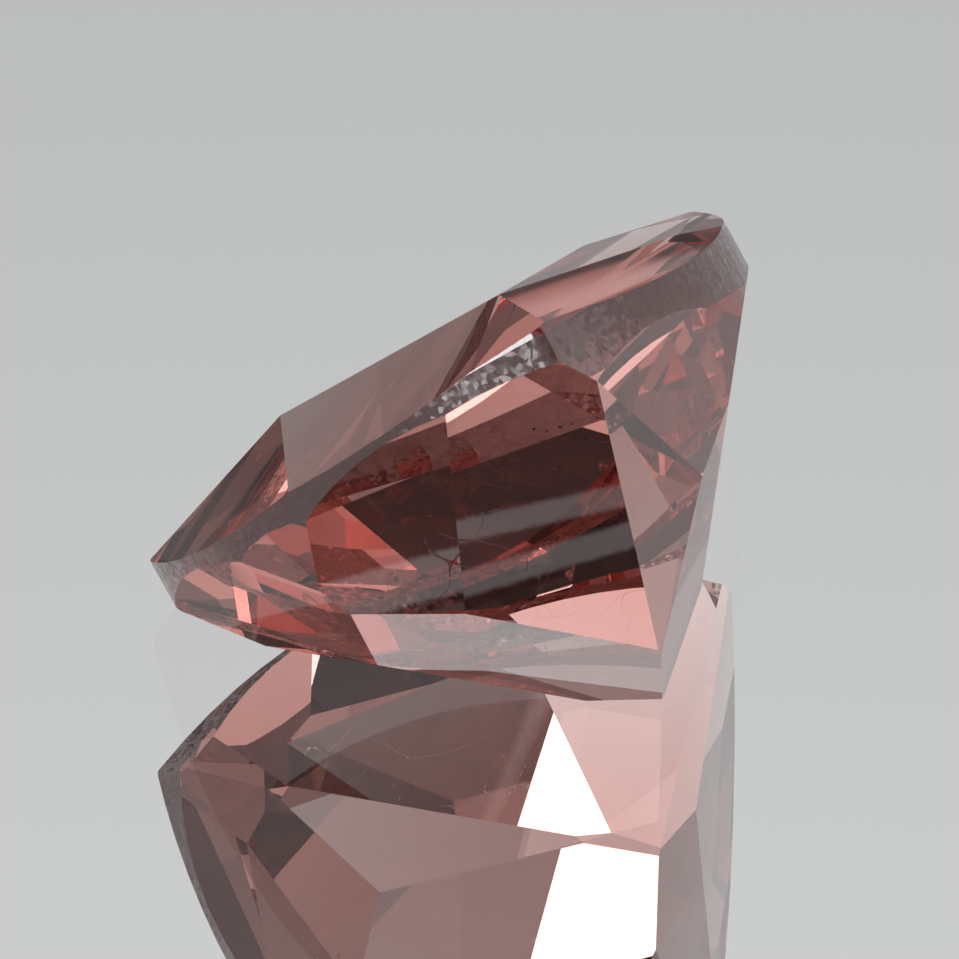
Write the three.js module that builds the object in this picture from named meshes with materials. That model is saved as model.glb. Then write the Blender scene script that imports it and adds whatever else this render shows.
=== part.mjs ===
// A pyrope-spessartine garnet, cut by hand as a curved-sided triangle (a trillion).
// It rests on one facet of its pavilion, with the table turned up and away. Millimetres, +Z up.
//
// The stone is first laid out in its own frame and then turned to the way it rests:
//   the origin is on the stone's axis at mid girdle, and the table faces +Z;
//   an azimuth is the compass angle of a facet in the plan of the girdle, from +X towards +Y;
//   a tilt is the angle between a facet and the plane of the girdle, 90 for the girdle itself;
//   a distance is how far a facet's plane lies from the origin.
// The three corners of the triangle are called left, near and right, as the stone rests.

import * as THREE from 'three';

// The three corners: azimuth, distance of the flats at the tip, and how far out the table reaches
const LEFT = { azimuth: 165.3, nose: 4.15, table: 2.19 };
const NEAR = { azimuth: -74.8, nose: 4.13, table: 2.19 };
const RIGHT = { azimuth: 45.2, nose: 4.0, table: 2.44 };

// Girdle: each side is an arc, cut as a row of narrow flats, and each corner has two flats
const SIDE_RADIUS = 6.38;
const SIDES = [
  { azimuth: -134.8, distance: 3.36 },
  { azimuth: -14.8, distance: 3.01 },
  { azimuth: 105.2, distance: 3.24 },
];
const FLATS_EACH_WAY = 9;
const FLAT_STEP = 3.7;
const NOSE_TURN = 14;

// Crown: a triangular table, one facet along each side and a pair of facets at each corner.
// The right corner's pair is cut shallower and doesn't reach the table.
const TABLE_HEIGHT = 0.9;
const CROWN_SIDES = [
  { start: LEFT, end: NEAR, tilt: 18.0 },
  { start: NEAR, end: RIGHT, tilt: 15.5 },
  { start: RIGHT, end: LEFT, tilt: 16.0 },
];
const CROWN_CORNERS = [
  { azimuth: -120.3, tilt: 16.8, corner: NEAR },
  { azimuth: -27.1, tilt: 22.6, corner: NEAR },
  { azimuth: 123.5, tilt: 24.5, corner: LEFT },
  { azimuth: -150.9, tilt: 24.0, corner: LEFT },
];
const CROWN_BREAKS = [
  { azimuth: -14.5, tilt: 20.0, distance: 1.36 },
  { azimuth: 103.5, tilt: 23.0, distance: 1.28 },
];

// Pavilion: three facets meet at the culet, and the rest stand off it
const CULET_DEPTH = 3.785;
const RESTING_FACET = { azimuth: 117.5, tilt: 50.0, distance: 2.59 };
const CULET_FACETS = [
  { azimuth: -136.0, tilt: 41.7 },
  { azimuth: -14.0, tilt: 45.5 },
  { azimuth: 152.0, tilt: 28.0 },
];
const PAVILION = [
  { azimuth: -176.0, tilt: 39.0, distance: 3.1 },
  { azimuth: -120.0, tilt: 56.0, distance: 2.8 },
  { azimuth: -111.5, tilt: 51.4, distance: 2.76 },
  { azimuth: -156.5, tilt: 58.5, distance: 3.1 },
  { azimuth: -140.0, tilt: 70.0, distance: 3.21 },
  { azimuth: 143.0, tilt: 50.0, distance: 3.27 },
  { azimuth: -55.0, tilt: 46.5, distance: 2.98 },
  { azimuth: -36.5, tilt: 61.0, distance: 2.91 },
  { azimuth: -2.5, tilt: 52.5, distance: 2.55 },
  { azimuth: 24.0, tilt: 38.0, distance: 3.01 },
  { azimuth: 100.5, tilt: 46.5, distance: 2.66 },
  { azimuth: 0.0, tilt: 86.5, distance: 3.11 },
];

// How the stone lies: the way its table looks in plan, degrees from +X towards +Y
const TABLE_HEADING = 129.5;

// Points closer than this are one point, and a corner this close to a plane lies on it
const SAME_POINT = 1e-5;
const ON_PLANE = 2e-5;

// Three planes that span less than this meet in no point
const LEAST_SPAN = 1e-7;

const GARNET_COLOUR = '#7d3436';
const GARNET_ROUGHNESS = 0.08;

/** Unit vector from an azimuth and a tilt; a crown facet looks up, any other looks down. */
function facetNormal(azimuth, tilt, up) {
  const a = THREE.MathUtils.degToRad(azimuth);
  const t = THREE.MathUtils.degToRad(tilt);
  const rise = Math.cos(t) * (up ? 1 : -1);
  return new THREE.Vector3(Math.cos(a) * Math.sin(t), Math.sin(a) * Math.sin(t), rise);
}

/** A facet's plane that lies a given distance from the origin. */
function facetAt({ azimuth, tilt, distance }, up = false) {
  return new THREE.Plane(facetNormal(azimuth, tilt, up), -distance);
}

/** A facet's plane that passes through a point. */
function facetThrough({ azimuth, tilt }, point, up = false) {
  return new THREE.Plane().setFromNormalAndCoplanarPoint(facetNormal(azimuth, tilt, up), point);
}

/** The point of the table at one corner of the stone. */
function tablePoint(corner) {
  const a = THREE.MathUtils.degToRad(corner.azimuth);
  return new THREE.Vector3(corner.table * Math.cos(a), corner.table * Math.sin(a), TABLE_HEIGHT);
}

/** The crown facet that slopes away from one side of the table. */
function crownSide({ start, end, tilt }) {
  const from = tablePoint(start);
  const to = tablePoint(end);
  const outward = Math.atan2(from.x - to.x, to.y - from.y);
  return facetThrough({ azimuth: THREE.MathUtils.radToDeg(outward), tilt }, from, true);
}

/** Upright flats round the girdle: a row along each arc, and two at each corner. */
function girdleFacets() {
  const planes = [];
  for (const side of SIDES) {
    const set = SIDE_RADIUS - side.distance;
    for (let k = -FLATS_EACH_WAY; k <= FLATS_EACH_WAY; k += 1) {
      const turn = k * FLAT_STEP;
      const distance = SIDE_RADIUS - set * Math.cos(THREE.MathUtils.degToRad(turn));
      planes.push(facetAt({ azimuth: side.azimuth + turn, tilt: 90, distance }));
    }
  }
  for (const corner of [LEFT, NEAR, RIGHT]) {
    for (const turn of [-NOSE_TURN, NOSE_TURN]) {
      planes.push(facetAt({ azimuth: corner.azimuth + turn, tilt: 90, distance: corner.nose }));
    }
  }
  return planes;
}

/** The table, its three sides and the facets at the corners. */
function crownFacets() {
  return [
    facetAt({ azimuth: 0, tilt: 0, distance: TABLE_HEIGHT }, true),
    ...CROWN_SIDES.map((side) => crownSide(side)),
    ...CROWN_CORNERS.map((cut) => facetThrough(cut, tablePoint(cut.corner), true)),
    ...CROWN_BREAKS.map((cut) => facetAt(cut, true)),
  ];
}

/** The facets below the girdle, with the one that the stone rests on first. */
function pavilionFacets() {
  const culet = new THREE.Vector3(0, 0, -CULET_DEPTH);
  return [
    facetAt(RESTING_FACET),
    ...CULET_FACETS.map((cut) => facetThrough(cut, culet)),
    ...PAVILION.map((cut) => facetAt(cut)),
  ];
}

/** Where three planes cross, or null where two of them are parallel. */
function crossing(p, q, r) {
  const qr = new THREE.Vector3().crossVectors(q.normal, r.normal);
  const span = p.normal.dot(qr);
  if (Math.abs(span) < LEAST_SPAN) return null;
  const rp = new THREE.Vector3().crossVectors(r.normal, p.normal);
  const pq = new THREE.Vector3().crossVectors(p.normal, q.normal);
  return qr
    .multiplyScalar(-p.constant)
    .addScaledVector(rp, -q.constant)
    .addScaledVector(pq, -r.constant)
    .divideScalar(span);
}

/** Corners of the solid that all the planes enclose, each kept once. */
function solidCorners(planes) {
  const corners = [];
  const isInside = (point) => planes.every((plane) => plane.distanceToPoint(point) < SAME_POINT);
  const isNew = (point) => corners.every((corner) => corner.distanceTo(point) > SAME_POINT);
  for (let i = 0; i < planes.length; i += 1) {
    for (let j = i + 1; j < planes.length; j += 1) {
      for (let k = j + 1; k < planes.length; k += 1) {
        const point = crossing(planes[i], planes[j], planes[k]);
        if (point && isInside(point) && isNew(point)) corners.push(point);
      }
    }
  }
  return corners;
}

/** The corners that lie on one plane, in order round it as seen from outside. */
function facetOutline(plane, corners) {
  const on = corners.filter((corner) => Math.abs(plane.distanceToPoint(corner)) < ON_PLANE);
  const centre = new THREE.Vector3();
  for (const corner of on) centre.addScaledVector(corner, 1 / on.length);
  const across = new THREE.Vector3().subVectors(on[0] ?? centre, centre).normalize();
  const along = new THREE.Vector3().crossVectors(plane.normal, across);
  const angle = (corner) => {
    const arm = new THREE.Vector3().subVectors(corner, centre);
    return Math.atan2(arm.dot(along), arm.dot(across));
  };
  return on.sort((a, b) => angle(a) - angle(b));
}

/** One closed body from the planes: each facet is a fan of triangles. */
function solidFromPlanes(planes) {
  const corners = solidCorners(planes);
  const positions = [];
  for (const plane of planes) {
    const outline = facetOutline(plane, corners);
    for (let i = 1; i + 1 < outline.length; i += 1) {
      for (const corner of [outline[0], outline[i], outline[i + 1]]) {
        positions.push(corner.x, corner.y, corner.z);
      }
    }
  }
  const geometry = new THREE.BufferGeometry();
  geometry.setAttribute('position', new THREE.Float32BufferAttribute(positions, 3));
  return geometry;
}

/** The turn that lays the resting facet flat and points the table along its heading. */
function restingTurn() {
  const down = facetNormal(RESTING_FACET.azimuth, RESTING_FACET.tilt, false);
  const table = new THREE.Vector3(0, 0, 1);
  const level = table.addScaledVector(down, -table.dot(down)).normalize();
  const heading = THREE.MathUtils.degToRad(TABLE_HEADING);
  const levelTo = new THREE.Vector3(Math.cos(heading), Math.sin(heading), 0);
  const downTo = new THREE.Vector3(0, 0, -1);
  const across = new THREE.Vector3().crossVectors(down, level);
  const acrossTo = new THREE.Vector3().crossVectors(downTo, levelTo);
  const cut = new THREE.Matrix4().makeBasis(down, level, across);
  const laid = new THREE.Matrix4().makeBasis(downTo, levelTo, acrossTo);
  return laid.multiply(cut.transpose());
}

/** Move a body so that the middle of the foot of its box is the origin. */
function standOnOrigin(geometry) {
  geometry.computeBoundingBox();
  const box = geometry.boundingBox;
  const centre = box.getCenter(new THREE.Vector3());
  geometry.translate(-centre.x, -centre.y, -box.min.z);
}

/** The garnet: girdle, crown and pavilion as one stone, laid on its resting facet. */
function garnet() {
  const planes = [...pavilionFacets(), ...crownFacets(), ...girdleFacets()];
  const geometry = solidFromPlanes(planes);
  geometry.applyMatrix4(restingTurn());
  standOnOrigin(geometry);
  geometry.computeVertexNormals();
  const material = new THREE.MeshStandardMaterial({
    color: GARNET_COLOUR,
    roughness: GARNET_ROUGHNESS,
    metalness: 0,
    flatShading: true,
  });
  const mesh = new THREE.Mesh(geometry, material);
  mesh.name = 'garnet';
  return mesh;
}

const part = new THREE.Group();
part.name = 'pyrope_spessartine_garnet';
part.add(garnet());

export default part;
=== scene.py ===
"""A faceted pyrope-spessartine garnet at rest on a polished pale floor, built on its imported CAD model."""

from __future__ import annotations

import logging
import math
import random
from dataclasses import dataclass, field
from enum import Enum

import bmesh
import bpy
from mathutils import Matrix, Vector

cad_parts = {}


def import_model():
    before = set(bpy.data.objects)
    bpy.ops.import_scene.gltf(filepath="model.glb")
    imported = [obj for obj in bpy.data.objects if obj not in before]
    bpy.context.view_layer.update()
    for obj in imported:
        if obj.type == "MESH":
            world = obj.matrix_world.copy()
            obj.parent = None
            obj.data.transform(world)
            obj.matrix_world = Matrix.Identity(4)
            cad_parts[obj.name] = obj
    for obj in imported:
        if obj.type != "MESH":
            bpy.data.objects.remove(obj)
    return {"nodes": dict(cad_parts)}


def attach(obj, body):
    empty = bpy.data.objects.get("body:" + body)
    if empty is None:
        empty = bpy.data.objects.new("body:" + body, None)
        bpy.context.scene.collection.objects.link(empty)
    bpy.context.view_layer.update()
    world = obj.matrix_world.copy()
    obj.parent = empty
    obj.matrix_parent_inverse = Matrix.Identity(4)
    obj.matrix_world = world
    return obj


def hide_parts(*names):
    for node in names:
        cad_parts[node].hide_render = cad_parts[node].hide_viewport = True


LOG = logging.getLogger("garnet_scene")
MM = 0.001

# The stone's own axis as it lies: square to the table, and along the flats of the girdle
TABLE_AXIS = Vector((-0.487, 0.591, 0.643)).normalized()
UPRIGHT_LIMIT = 0.02

Socket = bpy.types.NodeSocket
Spots = tuple[tuple[float, float, float, float], ...]


class FacetKind(Enum):
    """How a face of the stone is finished."""

    POLISHED = 0.0
    GROUND = 1.0
    EDGE = 2.0


class Graph:
    """A small helper that adds nodes to a node tree and joins them up."""

    def __init__(self, tree: bpy.types.NodeTree) -> None:
        """Starts with an empty tree.

        Args:
            tree: The node tree to fill.
        """
        self.tree = tree
        tree.nodes.clear()

    def add(self, kind: str, settings: dict | None = None, **inputs: object) -> bpy.types.Node:
        """Adds one node.

        Args:
            kind: The node's type, such as ShaderNodeMath.
            settings: Values for the node's own properties.
            **inputs: Values or sockets for its inputs, by name or by index as i0, i1 and so on.

        Returns:
            The node.
        """
        node = self.tree.nodes.new(kind)
        for key, value in (settings or {}).items():
            setattr(node, key, value)
        for key, value in inputs.items():
            index = key[1:]
            by_index = key[0] == "i" and index.isdigit()
            socket = node.inputs[int(index) if by_index else key.replace("_", " ")]
            if isinstance(value, Socket):
                self.tree.links.new(value, socket)
            else:
                socket.default_value = value
        return node

    def math(self, operation: str, a: object, b: object = 0.0, c: object = 0.0) -> Socket:
        """Adds a Math node and returns its output socket.

        Args:
            operation: The operation's name in Blender.
            a: The first number or socket.
            b: The second number or socket.
            c: The third number or socket.

        Returns:
            The result's socket.
        """
        return self.add("ShaderNodeMath", {"operation": operation}, i0=a, i1=b, i2=c).outputs[0]

    def vector(self, operation: str, a: object, b: object) -> Socket:
        """Adds a Vector Math node and returns its output socket.

        Args:
            operation: The operation's name in Blender.
            a: The first vector or socket.
            b: The second vector or socket.

        Returns:
            The result's socket, a number for a dot product.
        """
        node = self.add("ShaderNodeVectorMath", {"operation": operation}, i0=a, i1=b)
        return node.outputs["Value" if operation == "DOT_PRODUCT" else "Vector"]

    def blend(self, first: Socket, second: object, share: Socket) -> Socket:
        """Mixes two numbers.

        Args:
            first: The number where the share is 0.
            second: The number or socket where the share is 1.
            share: How much of the second one there is.

        Returns:
            The mixed number's socket.
        """
        return self.math("MULTIPLY_ADD", share, self.math("SUBTRACT", second, first), first)

    def ramp(
        self, value: object, low: float, high: float, out_low: float = 0.0, out_high: float = 1.0
    ) -> Socket:
        """Adds a smooth step from one value to another.

        Args:
            value: The number or socket that drives the step.
            low: Where the step starts.
            high: Where the step ends.
            out_low: The result before the step.
            out_high: The result after it.

        Returns:
            The result's socket.
        """
        smooth = {"interpolation_type": "SMOOTHSTEP"}
        node = self.add("ShaderNodeMapRange", smooth, i0=value, i1=low, i2=high, i3=out_low, i4=out_high)
        return node.outputs[0]

    def finish(self, kind: str, surface: Socket, volume: Socket | None = None) -> None:
        """Adds the tree's output node.

        Args:
            kind: The node's type, for a material or for the world.
            surface: The surface shader's socket.
            volume: The volume shader's socket, where there is one.
        """
        out = self.add(kind, {}, Surface=surface)
        if volume is not None:
            self.tree.links.new(volume, out.inputs["Volume"])


def new_material(name: str) -> tuple[bpy.types.Material, Graph]:
    """Makes an empty material.

    Args:
        name: The material's name.

    Returns:
        The material and the graph to fill.
    """
    material = bpy.data.materials.new(name)
    material.use_nodes = True
    return material, Graph(material.node_tree)


def new_object(name: str, mesh: bpy.types.Mesh) -> bpy.types.Object:
    """Puts a mesh into the scene.

    Args:
        name: The object's name.
        mesh: Its mesh.

    Returns:
        The object.
    """
    made = bpy.data.objects.new(name, mesh)
    bpy.context.scene.collection.objects.link(made)
    return made


@dataclass(frozen=True)
class CrystalFinish:
    """The garnet's own material: clear coloured crystal, polished on its facets and ground on its girdle.

    Sizes of marks are in metres, and a tilt is how far a mark turns the surface, as a slope.
    """

    ior: float = 1.76
    absorption_colour: tuple[float, float, float] = (0.80, 0.32, 0.25)
    absorption_density: float = 220.0
    polished_roughness: float = 0.004
    ground_roughness: float = 0.14
    ground_tint: tuple[float, float, float] = (0.20, 0.13, 0.13)
    ground_clearness: float = 0.60
    edge_roughness: float = 0.12
    grain_size: float = 0.055 * MM
    grain_tilt: float = 0.15
    line_size: float = 0.030 * MM
    line_stretch: float = 30.0
    line_tilt: float = 0.0002
    line_turn: tuple[float, float, float] = (25, 40, 10)
    scratch_size: float = 0.9 * MM
    scratch_stretch: float = 6.0
    scratch_width: float = 0.0022
    scratch_tilt: float = 0.10
    scratch_roughness: float = 0.2
    scratch_turns: tuple[tuple[float, float, float], ...] = ((70, 15, 40), (-20, 60, 5))
    worn_patch_scale: float = 0.6 / MM

    def marks(
        self, graph: Graph, place: Socket, turn: tuple[float, float, float], size: float, stretch: float
    ) -> bpy.types.Node:
        """Adds noise drawn out along one direction, for lines left by polishing and wear.

        Args:
            graph: The material's node tree.
            place: The position's socket.
            turn: The direction of the lines, as three angles in degrees.
            size: How far the lines lie apart.
            stretch: How much longer a line is than it is wide.

        Returns:
            The noise node.
        """
        turned = graph.add("ShaderNodeMapping", {}, Vector=place, Rotation=[math.radians(t) for t in turn])
        scale = (1 / size, 1 / size, 1 / (size * stretch))
        drawn = graph.vector("MULTIPLY", turned.outputs[0], scale)
        return graph.add("ShaderNodeTexNoise", {}, Vector=drawn, Scale=1.0, Detail=0.0)

    def tilted(self, graph: Graph, normal: Socket, colour: Socket, amount: object) -> Socket:
        """Turns a normal a little by a texture.

        Args:
            graph: The material's node tree.
            normal: The normal's socket.
            colour: The texture's colour, which is level at half.
            amount: The slope that the texture gives, a number or a socket.

        Returns:
            The new normal's socket.
        """
        centred = graph.vector("SUBTRACT", colour, (0.5, 0.5, 0.5))
        scaled = graph.add("ShaderNodeVectorMath", {"operation": "SCALE"}, i0=centred, Scale=amount)
        return graph.vector("ADD", normal, scaled.outputs[0])

    def scratches(self, graph: Graph, place: Socket) -> Socket:
        """Adds fine wandering scratches in two directions, gathered in worn patches.

        Args:
            graph: The material's node tree.
            place: The position's socket.

        Returns:
            The socket that is 1 on a scratch and 0 off it.
        """
        patch = graph.add("ShaderNodeTexNoise", {}, Vector=place, Scale=self.worn_patch_scale, Detail=0.0)
        lines = []
        for turn in self.scratch_turns:
            wander = self.marks(graph, place, turn, self.scratch_size, self.scratch_stretch)
            off = graph.math("ABSOLUTE", graph.math("SUBTRACT", wander.outputs[0], 0.5))
            lines.append(graph.ramp(off, 0.0, self.scratch_width, 1.0, 0.0))
        either = graph.math("MAXIMUM", *lines)
        return graph.math("MULTIPLY", either, graph.ramp(patch.outputs[0], 0.5, 0.62))

    def surface(self, graph: Graph) -> bpy.types.Node:
        """Adds the surface: polished facets, a ground girdle and worn edges.

        Args:
            graph: The material's node tree.

        Returns:
            The shader node.
        """
        place = graph.add("ShaderNodeTexCoord").outputs["Object"]
        kind = graph.add("ShaderNodeAttribute", {"attribute_name": "finish"}).outputs["Fac"]
        off_ground = graph.math("ABSOLUTE", graph.math("SUBTRACT", kind, FacetKind.GROUND.value))
        ground = graph.ramp(off_ground, 0.2, 0.5, 1.0, 0.0)
        edge = graph.ramp(kind, 1.5, 1.8)
        grain = graph.add("ShaderNodeTexVoronoi", {}, Vector=place, Scale=1 / self.grain_size, Randomness=1.0)
        lines = self.marks(graph, place, self.line_turn, self.line_size, self.line_stretch).outputs["Color"]
        scratch = self.scratches(graph, place)
        normal = graph.add("ShaderNodeNewGeometry").outputs["Normal"]
        for texture, amount in (
            (grain.outputs["Color"], graph.math("MULTIPLY", ground, self.grain_tilt)),
            (lines, self.line_tilt),
            (lines, graph.math("MULTIPLY", scratch, self.scratch_tilt)),
        ):
            normal = self.tilted(graph, normal, texture, amount)
        normal = graph.vector("NORMALIZE", normal, (0.0, 0.0, 0.0))
        rough = graph.math("MULTIPLY_ADD", ground, self.ground_roughness, self.polished_roughness)
        rough = graph.math("MULTIPLY_ADD", edge, self.edge_roughness, rough)
        rough = graph.math("MULTIPLY_ADD", scratch, self.scratch_roughness, rough)
        body = graph.add("ShaderNodeBsdfPrincipled", {}, Roughness=rough, Normal=normal)
        tint = graph.add("ShaderNodeMix", {"data_type": "RGBA"}, i0=ground)
        tint.inputs[6].default_value = (1.0, 1.0, 1.0, 1.0)
        tint.inputs[7].default_value = (*self.ground_tint, 1.0)
        graph.tree.links.new(tint.outputs[2], body.inputs["Base Color"])
        clearness = graph.ramp(ground, 0.0, 1.0, 1.0, self.ground_clearness)
        graph.tree.links.new(clearness, body.inputs["Transmission Weight"])
        body.inputs["IOR"].default_value = self.ior
        return body

    def build(self) -> bpy.types.Material:
        """Makes the material.

        Returns:
            The material.
        """
        material, graph = new_material("garnet_crystal")
        body = self.surface(graph)
        volume = graph.add("ShaderNodeVolumeAbsorption")
        volume.inputs["Color"].default_value = (*self.absorption_colour, 1.0)
        volume.inputs["Density"].default_value = self.absorption_density
        graph.finish("ShaderNodeOutputMaterial", body.outputs[0], volume.outputs[0])
        return material


@dataclass(frozen=True)
class SpeckFinish:
    """Dark mineral grains shut in the crystal."""

    colour: tuple[float, float, float] = (0.016, 0.006, 0.006)
    light_share: float = 4.0
    roughness: float = 0.45
    mottle_scale: float = 20 / MM

    def build(self) -> bpy.types.Material:
        """Makes the material.

        Returns:
            The material.
        """
        material, graph = new_material("dark_grains")
        place = graph.add("ShaderNodeTexCoord").outputs["Object"]
        noise = graph.add("ShaderNodeTexNoise", {}, Vector=place, Scale=self.mottle_scale, Detail=3.0)
        ramp = graph.add("ShaderNodeValToRGB", {}, Fac=noise.outputs[0])
        ramp.color_ramp.elements[0].color = (*self.colour, 1.0)
        ramp.color_ramp.elements[1].color = (*(self.light_share * c for c in self.colour), 1.0)
        body = graph.add("ShaderNodeBsdfPrincipled", {}, Base_Color=ramp.outputs[0])
        body.inputs["Roughness"].default_value = self.roughness
        body.inputs["Specular IOR Level"].default_value = 0.0
        graph.finish("ShaderNodeOutputMaterial", body.outputs[0])
        return material


@dataclass
class Garnet:
    """The stone: the CAD solid's facets with thin worn edges, a few chips and some grains shut inside.

    Each chip and grain is a place and a radius in millimetres.
    """

    edge_width: float = 0.014 * MM
    table_height: float = 0.9 * MM
    ground_band: tuple[float, float] = (-0.30 * MM, 0.34 * MM)
    worn_edge_angle: float = 6.0
    chips: Spots = (
        (-2.05, -0.62, 3.98, 0.14),
        (3.26, -1.62, 4.40, 0.10),
        (-2.98, -1.86, 2.10, 0.08),
        (1.70, -2.60, 0.03, 0.06),
    )
    grains: Spots = (
        (0.893, -2.985, 4.666, 0.017),
        (1.029, -2.977, 4.629, 0.012),
        (1.164, -2.969, 4.679, 0.020),
        (1.288, -2.962, 4.716, 0.012),
    )
    finish: CrystalFinish = field(default_factory=CrystalFinish)
    speck_finish: SpeckFinish = field(default_factory=SpeckFinish)

    @staticmethod
    def is_upright(face: bmesh.types.BMFace) -> bool:
        """Tells whether a face is one of the girdle's upright flats."""
        return abs(face.normal.dot(TABLE_AXIS)) < UPRIGHT_LIMIT

    def mark_girdle(self, shape: bmesh.types.BMesh, layer: bmesh.types.BMLayerItem) -> None:
        """Cuts the upright flats along the edges of the ground band and notes each face's finish.

        Args:
            shape: The stone's facets.
            layer: The face layer that holds the finish.
        """
        middle = max(vert.co.dot(TABLE_AXIS) for vert in shape.verts) - self.table_height
        for height in self.ground_band:
            flats = [face for face in shape.faces if self.is_upright(face)]
            parts = {part for face in flats for part in (face, *face.edges, *face.verts)}
            cut_at = TABLE_AXIS * (middle + height)
            bmesh.ops.bisect_plane(shape, geom=list(parts), dist=1e-8, plane_co=cut_at, plane_no=TABLE_AXIS)
            shape.normal_update()
        low, high = self.ground_band
        for face in shape.faces:
            at = face.calc_center_median().dot(TABLE_AXIS) - middle
            ground = self.is_upright(face) and low < at < high
            face[layer] = (FacetKind.GROUND if ground else FacetKind.POLISHED).value

    def faceted(self) -> bpy.types.Mesh:
        """Joins the CAD mesh's triangles into whole facets and rounds the edges a little.

        Returns:
            The mesh.
        """
        shape = bmesh.new()
        shape.from_mesh(frame["nodes"]["garnet"].data)
        bmesh.ops.remove_doubles(shape, verts=shape.verts, dist=1e-7)
        bmesh.ops.dissolve_limit(shape, angle_limit=math.radians(0.3), verts=shape.verts, edges=shape.edges)
        shape.normal_update()
        layer = shape.faces.layers.float.new("finish")
        self.mark_girdle(shape, layer)
        LOG.info("facets %d", len(shape.faces))
        least = math.radians(self.worn_edge_angle)
        edges = [edge for edge in shape.edges if edge.calc_face_angle(0.0) > least]
        made = bmesh.ops.bevel(
            shape,
            geom=edges,
            offset=self.edge_width,
            offset_type="OFFSET",
            segments=1,
            affect="EDGES",
            clamp_overlap=True,
        )
        for face in made["faces"]:
            face[layer] = FacetKind.EDGE.value
        mesh = bpy.data.meshes.new("garnet_stone")
        shape.to_mesh(mesh)
        shape.free()
        return mesh

    @staticmethod
    def lumps(name: str, spots: Spots, seed: int) -> bpy.types.Object:
        """Makes small uneven lumps in one object.

        Args:
            name: The object's name.
            spots: Each lump's place and radius in millimetres.
            seed: Where the unevenness starts.

        Returns:
            The object with the lumps.
        """
        chance = random.Random(seed)
        shape = bmesh.new()
        layer = shape.faces.layers.float.new("finish")
        for x, y, z, radius in spots:
            made = bmesh.ops.create_icosphere(shape, subdivisions=2, radius=radius * MM)
            stretch = Vector([chance.uniform(0.7, 1.5) for _ in range(3)])
            for vert in made["verts"]:
                vert.co = vert.co * stretch * chance.uniform(0.88, 1.08) + Vector((x, y, z)) * MM
        for face in shape.faces:
            face[layer] = FacetKind.EDGE.value
        mesh = bpy.data.meshes.new(name)
        shape.to_mesh(mesh)
        shape.free()
        return new_object(name, mesh)

    def cut_chips(self, stone: bpy.types.Object) -> None:
        """Cuts the small chips out of the facets' edges.

        Args:
            stone: The stone's object, whose mesh is replaced.
        """
        cutter = self.lumps("chip_cutter", self.chips, 7)
        cut = stone.modifiers.new("chips", "BOOLEAN")
        cut.operation = "DIFFERENCE"
        cut.solver = "EXACT"
        cut.object = cutter
        done = bpy.data.meshes.new_from_object(stone.evaluated_get(bpy.context.evaluated_depsgraph_get()))
        stone.modifiers.clear()
        stone.data = done
        bpy.data.objects.remove(cutter)

    def add_grains(self, stone: bpy.types.Object) -> None:
        """Shuts the dark grains inside the stone, as the mesh's second material.

        Args:
            stone: The stone's object.
        """
        specks = self.lumps("specks", self.grains, 3)
        whole = bmesh.new()
        whole.from_mesh(stone.data)
        count = len(whole.faces)
        whole.from_mesh(specks.data)
        whole.faces.ensure_lookup_table()
        for face in whole.faces[count:]:
            face.material_index = 1
        whole.to_mesh(stone.data)
        whole.free()
        bpy.data.objects.remove(specks)

    def build(self) -> bpy.types.Object:
        """Makes the stone and lets it stand for the CAD node.

        Returns:
            The stone's object.
        """
        stone = new_object("garnet_stone", self.faceted())
        self.cut_chips(stone)
        stone.data.materials.clear()
        stone.data.materials.append(self.finish.build())
        stone.data.materials.append(self.speck_finish.build())
        self.add_grains(stone)
        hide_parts("garnet")
        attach(stone, "root")
        return stone


@dataclass(frozen=True)
class Panel:
    """A flat panel of light, or a dark screen, far away in one direction.

    Azimuth 0 is the camera's side and 90 the right-hand side. Angles are in degrees, the roll turns
    the panel about its middle, and the softness is how wide its edges fade, as a slope.
    """

    azimuth: float
    elevation: float
    half_width: float
    half_height: float
    level: float
    softness: float = 0.05
    roll: float = 0.0

    def axes(self) -> tuple[Vector, Vector, Vector]:
        """Gives the panel's own directions.

        Returns:
            The unit vectors towards the panel, along its width and along its height.
        """
        a = math.radians(self.azimuth)
        e = math.radians(self.elevation)
        towards = Vector((math.sin(a) * math.cos(e), -math.cos(a) * math.cos(e), math.sin(e)))
        level_across = Vector((math.cos(a), math.sin(a), 0.0))
        r = math.radians(self.roll)
        across = level_across * math.cos(r) + towards.cross(level_across) * math.sin(r)
        return towards, across, towards.cross(across)

    def add_to(self, graph: Graph, place: Socket, level: Socket) -> Socket:
        """Lays the panel over the light that is there.

        Args:
            graph: The world's node tree.
            place: The direction's socket.
            level: The light's socket so far.

        Returns:
            The light's socket with the panel in it.
        """
        towards, across, along = (graph.vector("DOT_PRODUCT", place, axis) for axis in self.axes())
        mask = graph.ramp(towards, 0.02, 0.04)
        depth = graph.math("MAXIMUM", towards, 0.02)
        for side, half in ((across, self.half_width), (along, self.half_height)):
            edge = math.tan(math.radians(half))
            slope = graph.math("ABSOLUTE", graph.math("DIVIDE", side, depth))
            inside = graph.ramp(slope, edge - self.softness, edge + self.softness, 1.0, 0.0)
            mask = graph.math("MULTIPLY", mask, inside)
        return graph.blend(level, self.level, mask)


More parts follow.
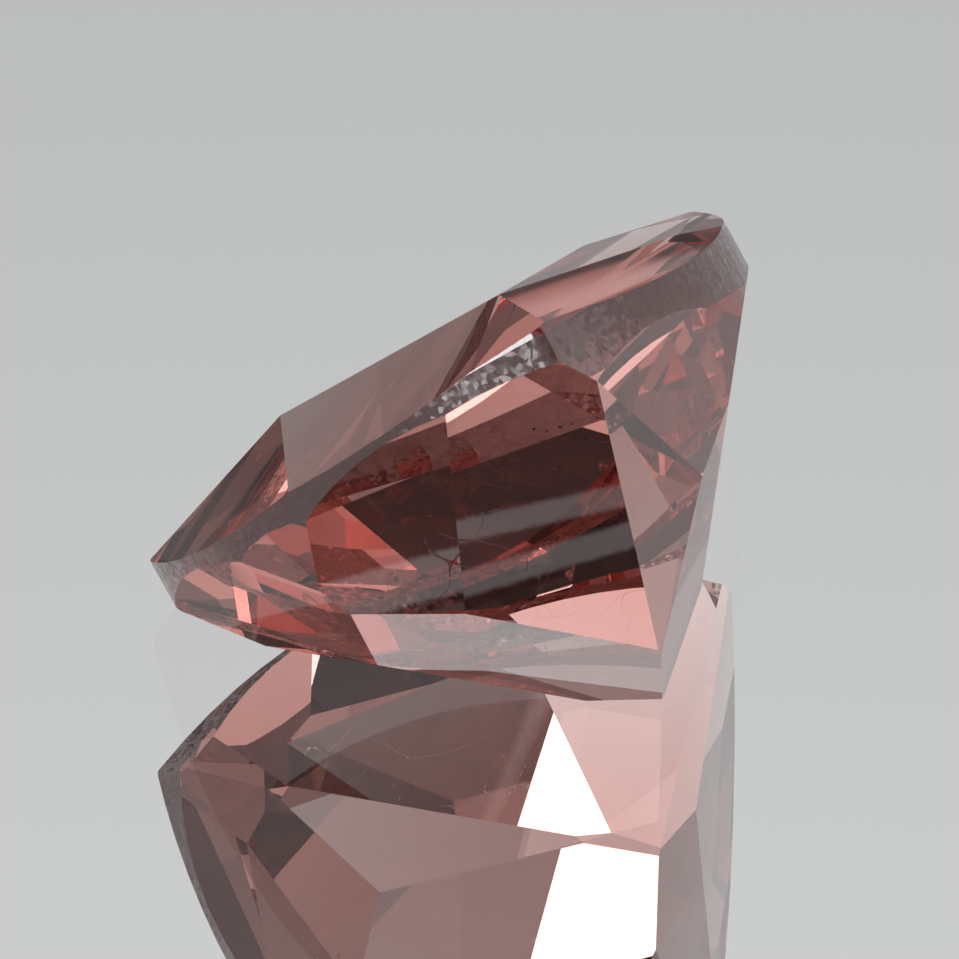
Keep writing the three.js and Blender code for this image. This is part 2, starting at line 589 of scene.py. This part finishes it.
@dataclass
class Studio:
    """The plain setting: a polished pale floor under soft light from all round.

    The plain level is the light that the floor shows. The first panels are what the outside of the
    stone mirrors, and the panels and levels are what is seen through the stone. A level is given at
    an elevation in degrees.
    """

    floor_radius: float = 3.0
    floor_drop: float = 1.07 * MM
    floor_reflect: float = 0.93
    face_drop: float = 0.004 * MM
    face_ior: float = 1.5
    panels: tuple[Panel, ...] = (
        Panel(82, 18, 22, 16, 0.055),
        Panel(22, 45, 15, 14, 0.02),
        Panel(182, 5, 18, 9, 0.03),
        Panel(176, 82, 9, 5, 0.9),
        Panel(142, 73, 7, 3.5, 3.5, 0.02),
        Panel(174.5, 35, 2.5, 2.5, 1.2, 0.01),
        Panel(83, 50, 5, 4, 0.2, 0.01),
        Panel(163, 18.5, 3, 3, 3.5, 0.01),
        Panel(113, 47, 6, 5, 0.38, 0.02),
        Panel(-135, 69, 10, 9, 1.4),
        Panel(-95, 46, 20, 12, 0.9),
        Panel(-33, 49, 16, 9, 1.2),
        Panel(-34, 18, 2.2, 2.2, 12.0, 0.01),
        Panel(-33, 31, 1.0, 1.0, 5.0, 0.01),
        Panel(54, 60, 1.0, 1.0, 8.0, 0.01),
    )
    first_panels: tuple[Panel, ...] = (
        Panel(98, 29, 16, 11, 1.1),
        Panel(-130, 69, 14, 10, 0.45),
        Panel(-20, 85, 12, 6, 1.9),
        Panel(0, 45.5, 15, 6, 0.04),
        Panel(7.365, 45.15, 1.2, 0.07, 0.85, 0.0004, -13),
        Panel(7.265, 45.475, 1.2, 0.08, 0.85, 0.0004, -17),
        Panel(-10.5, 46.72, 0.9, 0.14, 1.0, 0.0004, -15),
        Panel(-168, 25, 16, 9, 0.10),
        Panel(-40, 12, 2.0, 2.0, 10.0, 0.01),
        Panel(-34, 18, 2.0, 2.0, 10.0, 0.01),
        Panel(-28, 24, 2.0, 2.0, 10.0, 0.01),
    )
    levels: tuple[tuple[float, float], ...] = (
        (0, 0.25),
        (12, 0.25),
        (20, 0.30),
        (30, 0.42),
        (41, 0.55),
        (47, 0.66),
        (58, 0.8),
        (70, 1.0),
        (90, 1.15),
    )
    plain_low: tuple[float, float] = (38.0, 0.53)
    plain_high: tuple[float, float] = (50.0, 0.68)
    light_colour: tuple[float, float, float] = (0.985, 0.995, 1.0)

    def floor_sheet(self, name: str, drop: float) -> bpy.types.Object:
        """Makes one level sheet of the floor.

        Args:
            name: The sheet's name.
            drop: How far it lies under the stone.

        Returns:
            The sheet's object.
        """
        mesh = bpy.data.meshes.new(name)
        r = self.floor_radius
        corners = [(x * r, y * r, -drop) for x, y in ((-1, -1), (1, -1), (1, 1), (-1, 1))]
        mesh.from_pydata(corners, [], [(0, 1, 2, 3)])
        sheet = new_object(name, mesh)
        return sheet

    def build_floor(self) -> None:
        """Makes the floor: a clear glossy face over a pale, brightly polished bed."""
        material, graph = new_material("polished_bed")
        body = graph.add("ShaderNodeBsdfPrincipled")
        body.inputs["Base Color"].default_value = (*(self.floor_reflect,) * 3, 1.0)
        body.inputs["Metallic"].default_value = 1.0
        body.inputs["Roughness"].default_value = 0.0
        graph.finish("ShaderNodeOutputMaterial", body.outputs[0])
        self.floor_sheet("floor_bed", self.floor_drop).data.materials.append(material)
        material, graph = new_material("clear_face")
        share = graph.add("ShaderNodeFresnel", {}, IOR=self.face_ior).outputs[0]
        above = graph.math("SUBTRACT", 1.0, graph.add("ShaderNodeNewGeometry").outputs["Backfacing"])
        share = graph.math("MULTIPLY", share, above)
        clear = graph.add("ShaderNodeBsdfTransparent").outputs[0]
        gloss = graph.add("ShaderNodeBsdfGlossy", {}, Roughness=0.0).outputs[0]
        mix = graph.add("ShaderNodeMixShader", {}, i0=share, i1=clear, i2=gloss)
        graph.finish("ShaderNodeOutputMaterial", mix.outputs[0])
        self.floor_sheet("floor_face", self.face_drop).data.materials.append(material)

    def sky_levels(self, graph: Graph, up: Socket) -> Socket:
        """Adds the light's level from the horizon to the zenith.

        Args:
            graph: The world's node tree.
            up: The elevation's socket, in degrees.

        Returns:
            The level's socket.
        """
        curve = graph.add("ShaderNodeFloatCurve", {}, i1=graph.math("DIVIDE", up, 90.0))
        points = curve.mapping.curves[0].points
        top = max(level for _, level in self.levels)
        while len(points) < len(self.levels):
            points.new(0.5, 0.5)
        for point, (elevation, value) in zip(points, self.levels):
            point.location = (elevation / 90.0, value / top)
            point.handle_type = "VECTOR"
        curve.mapping.update()
        return graph.math("MULTIPLY", curve.outputs[0], top)

    @staticmethod
    def mirrored_share(graph: Graph, path: bpy.types.Node) -> Socket:
        """Adds the share of light that the stone's outside mirrors, by itself or by way of the floor.

        Args:
            graph: The world's node tree.
            path: The Light Path node.

        Returns:
            The share's socket, 1 or 0.
        """
        off_stone = graph.math("LESS_THAN", path.outputs["Transparent Depth"], 0.5)
        bounced = graph.math("GREATER_THAN", path.outputs["Ray Depth"], 1.5)
        twice = graph.math("GREATER_THAN", path.outputs["Ray Depth"], 2.5)
        return graph.math("MAXIMUM", twice, graph.math("MULTIPLY", off_stone, bounced))

    def build_sky(self) -> None:
        """Makes the light: plain and pale on the floor, with the panels where the stone sees it."""
        world = bpy.data.worlds.new("studio")
        bpy.context.scene.world = world
        world.use_nodes = True
        world.cycles.sampling_method = "NONE"
        graph = Graph(world.node_tree)
        place = graph.add("ShaderNodeTexCoord").outputs["Generated"]
        height = graph.add("ShaderNodeSeparateXYZ", {}, i0=place).outputs[2]
        up = graph.math("MULTIPLY", graph.math("ARCSINE", height), 180 / math.pi)
        inside = self.sky_levels(graph, up)
        for panel in self.panels:
            inside = panel.add_to(graph, place, inside)
        (low, low_level), (high, high_level) = self.plain_low, self.plain_high
        plain = graph.ramp(up, low, high, low_level, high_level)
        first = plain
        for panel in self.first_panels:
            first = panel.add_to(graph, place, first)
        path = graph.add("ShaderNodeLightPath")
        outside = graph.blend(plain, first, self.mirrored_share(graph, path))
        through = graph.math("GREATER_THAN", path.outputs["Transmission Depth"], 0.5)
        light = graph.add("ShaderNodeBackground", {}, Strength=graph.blend(outside, inside, through))
        light.inputs["Color"].default_value = (*self.light_colour, 1.0)
        graph.finish("ShaderNodeOutputWorld", light.outputs[0])


@dataclass
class PhotoCamera:
    """The camera at the photograph's viewing angle."""

    place: tuple[float, float, float] = (0.327 * MM, -70.85 * MM, 69.44 * MM)
    pitch: float = 46.0
    lens: float = 337.9
    sensor: float = 36.0
    clip: tuple[float, float] = (0.0005, 20.0)

    def build(self) -> bpy.types.Object:
        """Makes the camera.

        Returns:
            The camera's object.
        """
        data = bpy.data.cameras.new("camera")
        data.sensor_width = self.sensor
        data.lens = self.lens
        data.clip_start, data.clip_end = self.clip
        camera = bpy.data.objects.new("camera", data)
        bpy.context.scene.collection.objects.link(camera)
        camera.location = self.place
        camera.rotation_euler = (math.radians(self.pitch), 0.0, 0.0)
        bpy.context.scene.camera = camera
        return camera


def set_colour_and_bounces() -> None:
    """Sets a plain colour transform and enough bounces for a clear stone."""
    scene = bpy.context.scene
    scene.view_settings.view_transform = "Standard"
    scene.cycles.max_bounces = 22
    scene.cycles.transmission_bounces = 22
    scene.cycles.glossy_bounces = 22
    scene.cycles.diffuse_bounces = 4


def main() -> None:
    """Builds the camera, the studio and the stone, in that order."""
    logging.basicConfig(level=logging.INFO, format="%(name)s: %(message)s")
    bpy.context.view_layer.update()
    PhotoCamera().build()
    LOG.info("camera at the photograph's viewing angle")
    studio = Studio()
    studio.build_floor()
    studio.build_sky()
    LOG.info("floor and soft light")
    stone = Garnet().build()
    LOG.info("%s: %d faces", stone.name, len(stone.data.polygons))
    set_colour_and_bounces()


if __name__ == "__main__":
    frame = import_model()
    main()
